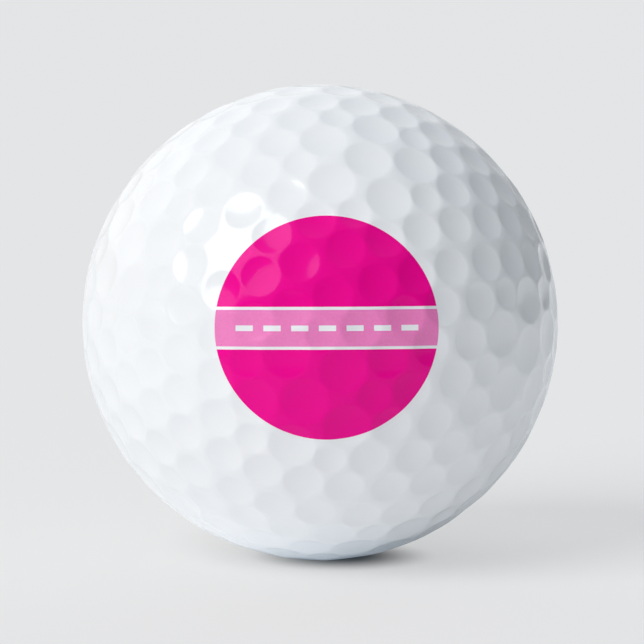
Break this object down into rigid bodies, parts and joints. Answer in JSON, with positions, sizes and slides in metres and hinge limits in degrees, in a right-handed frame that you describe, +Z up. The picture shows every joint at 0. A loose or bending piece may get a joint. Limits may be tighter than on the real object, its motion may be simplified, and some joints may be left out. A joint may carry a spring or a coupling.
{
  "type": "golf ball",
  "caption": "Golf ball: rubber core, mantle and dimpled white cover moulded as half shells, with a pink printed disc split by a paler dashed band.",
  "frame": {"origin": "centre of the ball", "axes": "+Z up as the ball lies at rest, -Y towards the front, where the printed disc faces and is tilted up by 6 degrees, +X to the right of the print"},
  "size_m": [0.0426, 0.0428, 0.0426],
  "materials": {
    "core_rubber": "dense moulded polybutadiene rubber, dull, ground surface",
    "mantle_plastic": "plain moulded ionomer, satin",
    "cover_white": "white moulded cover under a glossy clear coat",
    "ink_hot_pink": "hot pink printed ink under the same clear coat",
    "ink_pale_pink": "pale pink printed ink under the same clear coat"
  },
  "bodies": {
    "root": {"core": "core_rubber", "mantle_front_half": "mantle_plastic", "mantle_rear_half": "mantle_plastic", "cover_front_half": "cover_white", "cover_rear_half": "cover_white", "print_disc_upper": "ink_hot_pink", "print_disc_lower": "ink_hot_pink", "print_band": "ink_pale_pink"}
  },
  "joints": []
}
